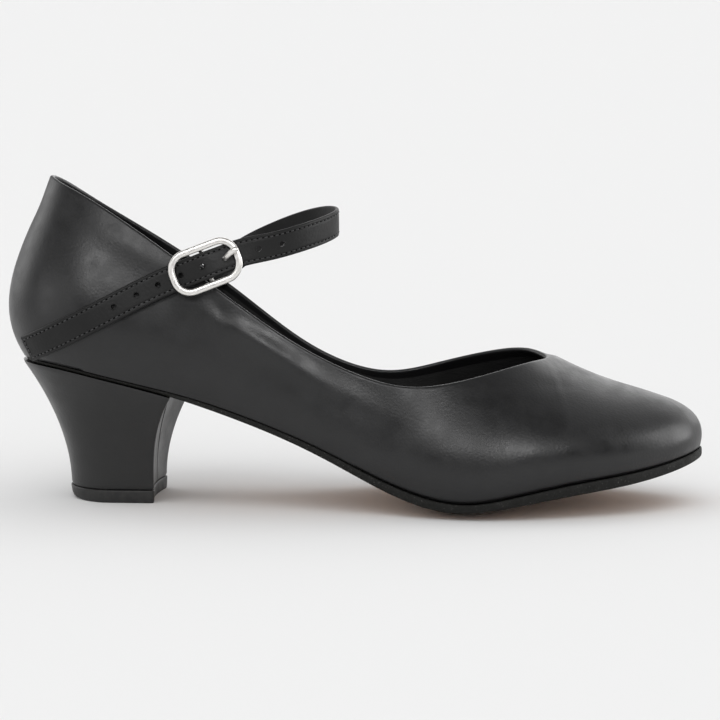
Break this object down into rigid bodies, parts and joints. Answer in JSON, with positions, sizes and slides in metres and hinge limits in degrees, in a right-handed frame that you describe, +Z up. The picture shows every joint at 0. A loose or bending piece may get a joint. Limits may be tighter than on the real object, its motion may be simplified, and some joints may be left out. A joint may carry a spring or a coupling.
{
  "type": "character shoe",
  "caption": "Low-cut closed-toe dance pump with a covered heel, thin sole, hollow upper and a buckled instep strap.",
  "frame": {"origin": "on the floor, under the middle of the bounding box", "axes": "+X to the toe, -Y to the outer side of the right foot, +Z up; the shoe stands on its forepart and its heel's lift"},
  "size_m": [0.2506, 0.0837, 0.1171],
  "materials": {
    "black_leather": "satin",
    "strap_leather": "semi-gloss",
    "heel_cover": "satin",
    "sock_leather": "matte",
    "sole_leather": "brushed suede with a black edge",
    "lift_rubber": "matte",
    "nickel": "polished"
  },
  "bodies": {
    "root": {"upper": "black_leather", "outsole": "sole_leather", "insole": "sock_leather", "heel": "heel_cover", "top_lift": "lift_rubber", "strap": "strap_leather", "buckle_frame": "nickel", "buckle_prong": "nickel", "buckle_tab": "strap_leather"}
  },
  "joints": []
}
